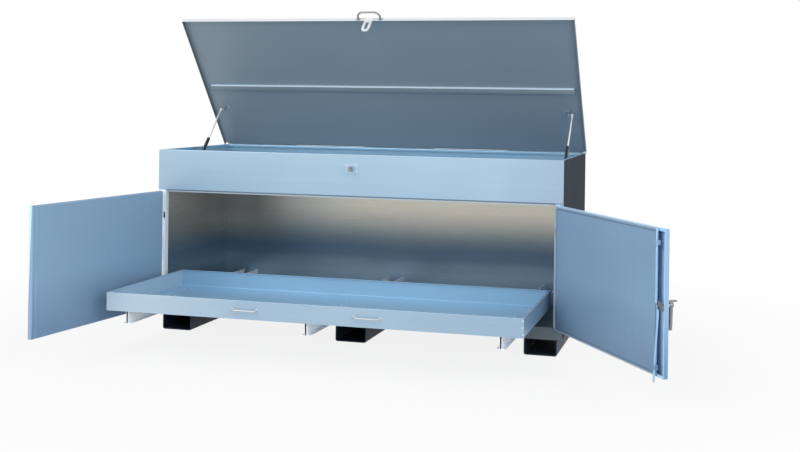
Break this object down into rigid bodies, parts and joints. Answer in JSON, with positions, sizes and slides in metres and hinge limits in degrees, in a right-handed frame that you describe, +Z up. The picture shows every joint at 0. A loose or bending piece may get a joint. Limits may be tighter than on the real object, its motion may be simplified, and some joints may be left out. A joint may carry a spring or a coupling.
{
  "type": "jobsite storage box",
  "caption": "Long steel jobsite storage box on skids, with a lift-up lid on gas struts over a top well and double doors over a roll-out drawer.",
  "frame": {"origin": "middle of the centre skid's underside, where the box stands", "axes": "+X along the box to its right-hand end, +Y from front to back, +Z up"},
  "size_m": [3.2059, 2.2098, 1.9278],
  "materials": {
    "body_sheet": "satin blue-grey coated sheet",
    "lid_sheet": "satin blue-grey coated sheet",
    "door_sheet": "satin blue-grey coated sheet",
    "drawer_sheet": "satin blue-grey coated sheet",
    "skid_paint": "semi-matt black",
    "zinc_fittings": "bright zinc",
    "roller_steel": "turned steel",
    "strut_tube_paint": "gloss black"
  },
  "bodies": {
    "body": {"left_side_panel": "body_sheet", "right_side_panel": "body_sheet", "back_panel": "body_sheet", "floor_panel": "body_sheet", "well_floor": "body_sheet", "front_fascia": "body_sheet", "left_post": "body_sheet", "right_post": "body_sheet", "front_sill": "body_sheet", "left_skid": "skid_paint", "centre_skid": "skid_paint", "right_skid": "skid_paint", "padlock_staple": "zinc_fittings", "left_fixed_rail": "zinc_fittings", "centre_fixed_rail": "zinc_fittings", "right_fixed_rail": "zinc_fittings", "lid_hinge_fixed_leaf": "zinc_fittings", "left_door_hinge_fixed_leaf": "zinc_fittings", "right_door_hinge_fixed_leaf": "zinc_fittings", "left_strut_base_bracket": "zinc_fittings", "right_strut_base_bracket": "zinc_fittings"},
    "lid": {"lid_pan": "lid_sheet", "lid_stiffener": "zinc_fittings", "lid_handle": "zinc_fittings", "lid_hinge_moving_leaf": "zinc_fittings", "hasp_hinge_leaf": "zinc_fittings", "left_strut_lid_bracket": "zinc_fittings", "right_strut_lid_bracket": "zinc_fittings"},
    "hasp": {"hasp_strap": "zinc_fittings"},
    "drawer": {"drawer_tray": "drawer_sheet", "left_drawer_handle": "zinc_fittings", "right_drawer_handle": "zinc_fittings", "left_moving_rail": "zinc_fittings", "centre_moving_rail": "zinc_fittings", "right_moving_rail": "zinc_fittings"},
    "left_door": {"left_door_shell": "door_sheet", "left_door_liner": "door_sheet", "left_door_hinge_moving_leaf": "zinc_fittings"},
    "right_door": {"right_door_shell": "door_sheet", "right_door_liner": "door_sheet", "right_door_hinge_moving_leaf": "zinc_fittings"},
    "latch": {"latch_handle": "zinc_fittings", "latch_cam": "zinc_fittings"},
    "upper_rod": {"upper_latch_rod": "zinc_fittings"},
    "lower_rod": {"lower_latch_rod": "zinc_fittings"},
    "left_strut_tube": {"left_strut_tube": "strut_tube_paint"},
    "left_strut_rod": {"left_strut_rod": "zinc_fittings"},
    "right_strut_tube": {"right_strut_tube": "strut_tube_paint"},
    "right_strut_rod": {"right_strut_rod": "zinc_fittings"},
    "left_rail_front_left_roller": {"left_rail_front_left_roller": "roller_steel"},
    "left_rail_front_right_roller": {"left_rail_front_right_roller": "roller_steel"},
    "left_rail_rear_rollers": {"left_rail_rear_rollers": "roller_steel"},
    "centre_rail_front_left_roller": {"centre_rail_front_left_roller": "roller_steel"},
    "centre_rail_front_right_roller": {"centre_rail_front_right_roller": "roller_steel"},
    "centre_rail_rear_rollers": {"centre_rail_rear_rollers": "roller_steel"},
    "right_rail_front_left_roller": {"right_rail_front_left_roller": "roller_steel"},
    "right_rail_front_right_roller": {"right_rail_front_right_roller": "roller_steel"},
    "right_rail_rear_rollers": {"right_rail_rear_rollers": "roller_steel"}
  },
  "joints": [
    {"name": "lid_hinge", "type": "hinge", "parent": "body", "child": "lid", "pos_m": [0, 0.5065, 1.094], "axis": [-1, 0, 0], "range_deg": [-49.2, 0]},
    {"name": "hasp_hinge", "type": "hinge", "parent": "lid", "child": "hasp", "pos_m": [0, -0.21713, 1.87494], "axis": [-1, 0, 0], "range_deg": [-23, 92]},
    {"name": "drawer_slide", "type": "slide", "parent": "body", "child": "drawer", "axis": [0, 1, 0], "range_m": [0, 0.795]},
    {"name": "left_door_hinge", "type": "hinge", "parent": "body", "child": "left_door", "pos_m": [-1.19, -0.5225, 0.49585], "axis": [0, 0, -1], "range_deg": [-9, 83.5]},
    {"name": "right_door_hinge", "type": "hinge", "parent": "body", "child": "right_door", "pos_m": [1.19, -0.5225, 0.49585], "axis": [0, 0, 1], "range_deg": [-35.1, 57.4]},
    {"name": "latch_turn", "type": "hinge", "parent": "right_door", "child": "latch", "pos_m": [1.81228, -1.49553, 0.48701], "axis": [0.8425, 0.5388, 0], "range_deg": [0, 90]},
    {"name": "upper_rod_slide", "type": "slide", "parent": "right_door", "child": "upper_rod", "axis": [0, 0, -1], "range_m": [0, 0.0301]},
    {"name": "lower_rod_slide", "type": "slide", "parent": "right_door", "child": "lower_rod", "axis": [0.0529, -0.0827, 0.9952], "range_m": [0, 0.0301]},
    {"name": "left_strut_swing", "type": "hinge", "parent": "body", "child": "left_strut_tube", "pos_m": [-1.163, -0.1865, 0.88], "axis": [1, 0, 0], "range_deg": [-19, 0.1]},
    {"name": "left_strut_slide", "type": "slide", "parent": "left_strut_tube", "child": "left_strut_rod", "axis": [0, 0.7114, 0.7028], "range_m": [-0.2285, 0.0001]},
    {"name": "right_strut_swing", "type": "hinge", "parent": "body", "child": "right_strut_tube", "pos_m": [1.163, -0.1865, 0.88], "axis": [1, 0, 0], "range_deg": [-19, 0.1]},
    {"name": "right_strut_slide", "type": "slide", "parent": "right_strut_tube", "child": "right_strut_rod", "axis": [0, 0.7114, 0.7028], "range_m": [-0.2285, 0.0001]},
    {"name": "left_rail_front_left_roller_spin", "type": "hinge", "parent": "body", "child": "left_rail_front_left_roller", "pos_m": [-1.019, -0.4465, 0.2152], "axis": [1, 0, 0], "range_deg": [-1600, 1]},
    {"name": "left_rail_front_right_roller_spin", "type": "hinge", "parent": "body", "child": "left_rail_front_right_roller", "pos_m": [-1.019, -0.4465, 0.2152], "axis": [1, 0, 0], "range_deg": [-1600, 1]},
    {"name": "left_rail_rear_rollers_spin", "type": "hinge", "parent": "drawer", "child": "left_rail_rear_rollers", "pos_m": [-1.019, -0.3965, 0.2033], "axis": [1, 0, 0], "range_deg": [-1315, 1]},
    {"name": "centre_rail_front_left_roller_spin", "type": "hinge", "parent": "body", "child": "centre_rail_front_left_roller", "pos_m": [0, -0.4465, 0.2152], "axis": [1, 0, 0], "range_deg": [-1600, 1]},
    {"name": "centre_rail_front_right_roller_spin", "type": "hinge", "parent": "body", "child": "centre_rail_front_right_roller", "pos_m": [0, -0.4465, 0.2152], "axis": [1, 0, 0], "range_deg": [-1600, 1]},
    {"name": "centre_rail_rear_rollers_spin", "type": "hinge", "parent": "drawer", "child": "centre_rail_rear_rollers", "pos_m": [0, -0.3965, 0.2033], "axis": [1, 0, 0], "range_deg": [-1315, 1]},
    {"name": "right_rail_front_left_roller_spin", "type": "hinge", "parent": "body", "child": "right_rail_front_left_roller", "pos_m": [1.019, -0.4465, 0.2152], "axis": [1, 0, 0], "range_deg": [-1600, 1]},
    {"name": "right_rail_front_right_roller_spin", "type": "hinge", "parent": "body", "child": "right_rail_front_right_roller", "pos_m": [1.019, -0.4465, 0.2152], "axis": [1, 0, 0], "range_deg": [-1600, 1]},
    {"name": "right_rail_rear_rollers_spin", "type": "hinge", "parent": "drawer", "child": "right_rail_rear_rollers", "pos_m": [1.019, -0.3965, 0.2033], "axis": [1, 0, 0], "range_deg": [-1315, 1]}
  ],
  "couplings": [
    {"joint": "upper_rod_slide", "follows": "latch_turn", "m_per_rad": 0.019099},
    {"joint": "lower_rod_slide", "follows": "latch_turn", "m_per_rad": 0.019099},
    {"joint": "left_strut_swing", "follows": "lid_hinge", "ratio": 0.37665},
    {"joint": "left_strut_slide", "follows": "lid_hinge", "m_per_rad": 0.26483},
    {"joint": "right_strut_swing", "follows": "lid_hinge", "ratio": 0.37665},
    {"joint": "right_strut_slide", "follows": "lid_hinge", "m_per_rad": 0.26483},
    {"joint": "left_rail_front_left_roller_spin", "follows": "drawer_slide", "rad_per_m": -35.088},
    {"joint": "left_rail_front_right_roller_spin", "follows": "drawer_slide", "rad_per_m": -35.088},
    {"joint": "left_rail_rear_rollers_spin", "follows": "drawer_slide", "rad_per_m": -28.818},
    {"joint": "centre_rail_front_left_roller_spin", "follows": "drawer_slide", "rad_per_m": -35.088},
    {"joint": "centre_rail_front_right_roller_spin", "follows": "drawer_slide", "rad_per_m": -35.088},
    {"joint": "centre_rail_rear_rollers_spin", "follows": "drawer_slide", "rad_per_m": -28.818},
    {"joint": "right_rail_front_left_roller_spin", "follows": "drawer_slide", "rad_per_m": -35.088},
    {"joint": "right_rail_front_right_roller_spin", "follows": "drawer_slide", "rad_per_m": -35.088},
    {"joint": "right_rail_rear_rollers_spin", "follows": "drawer_slide", "rad_per_m": -28.818}
  ]
}
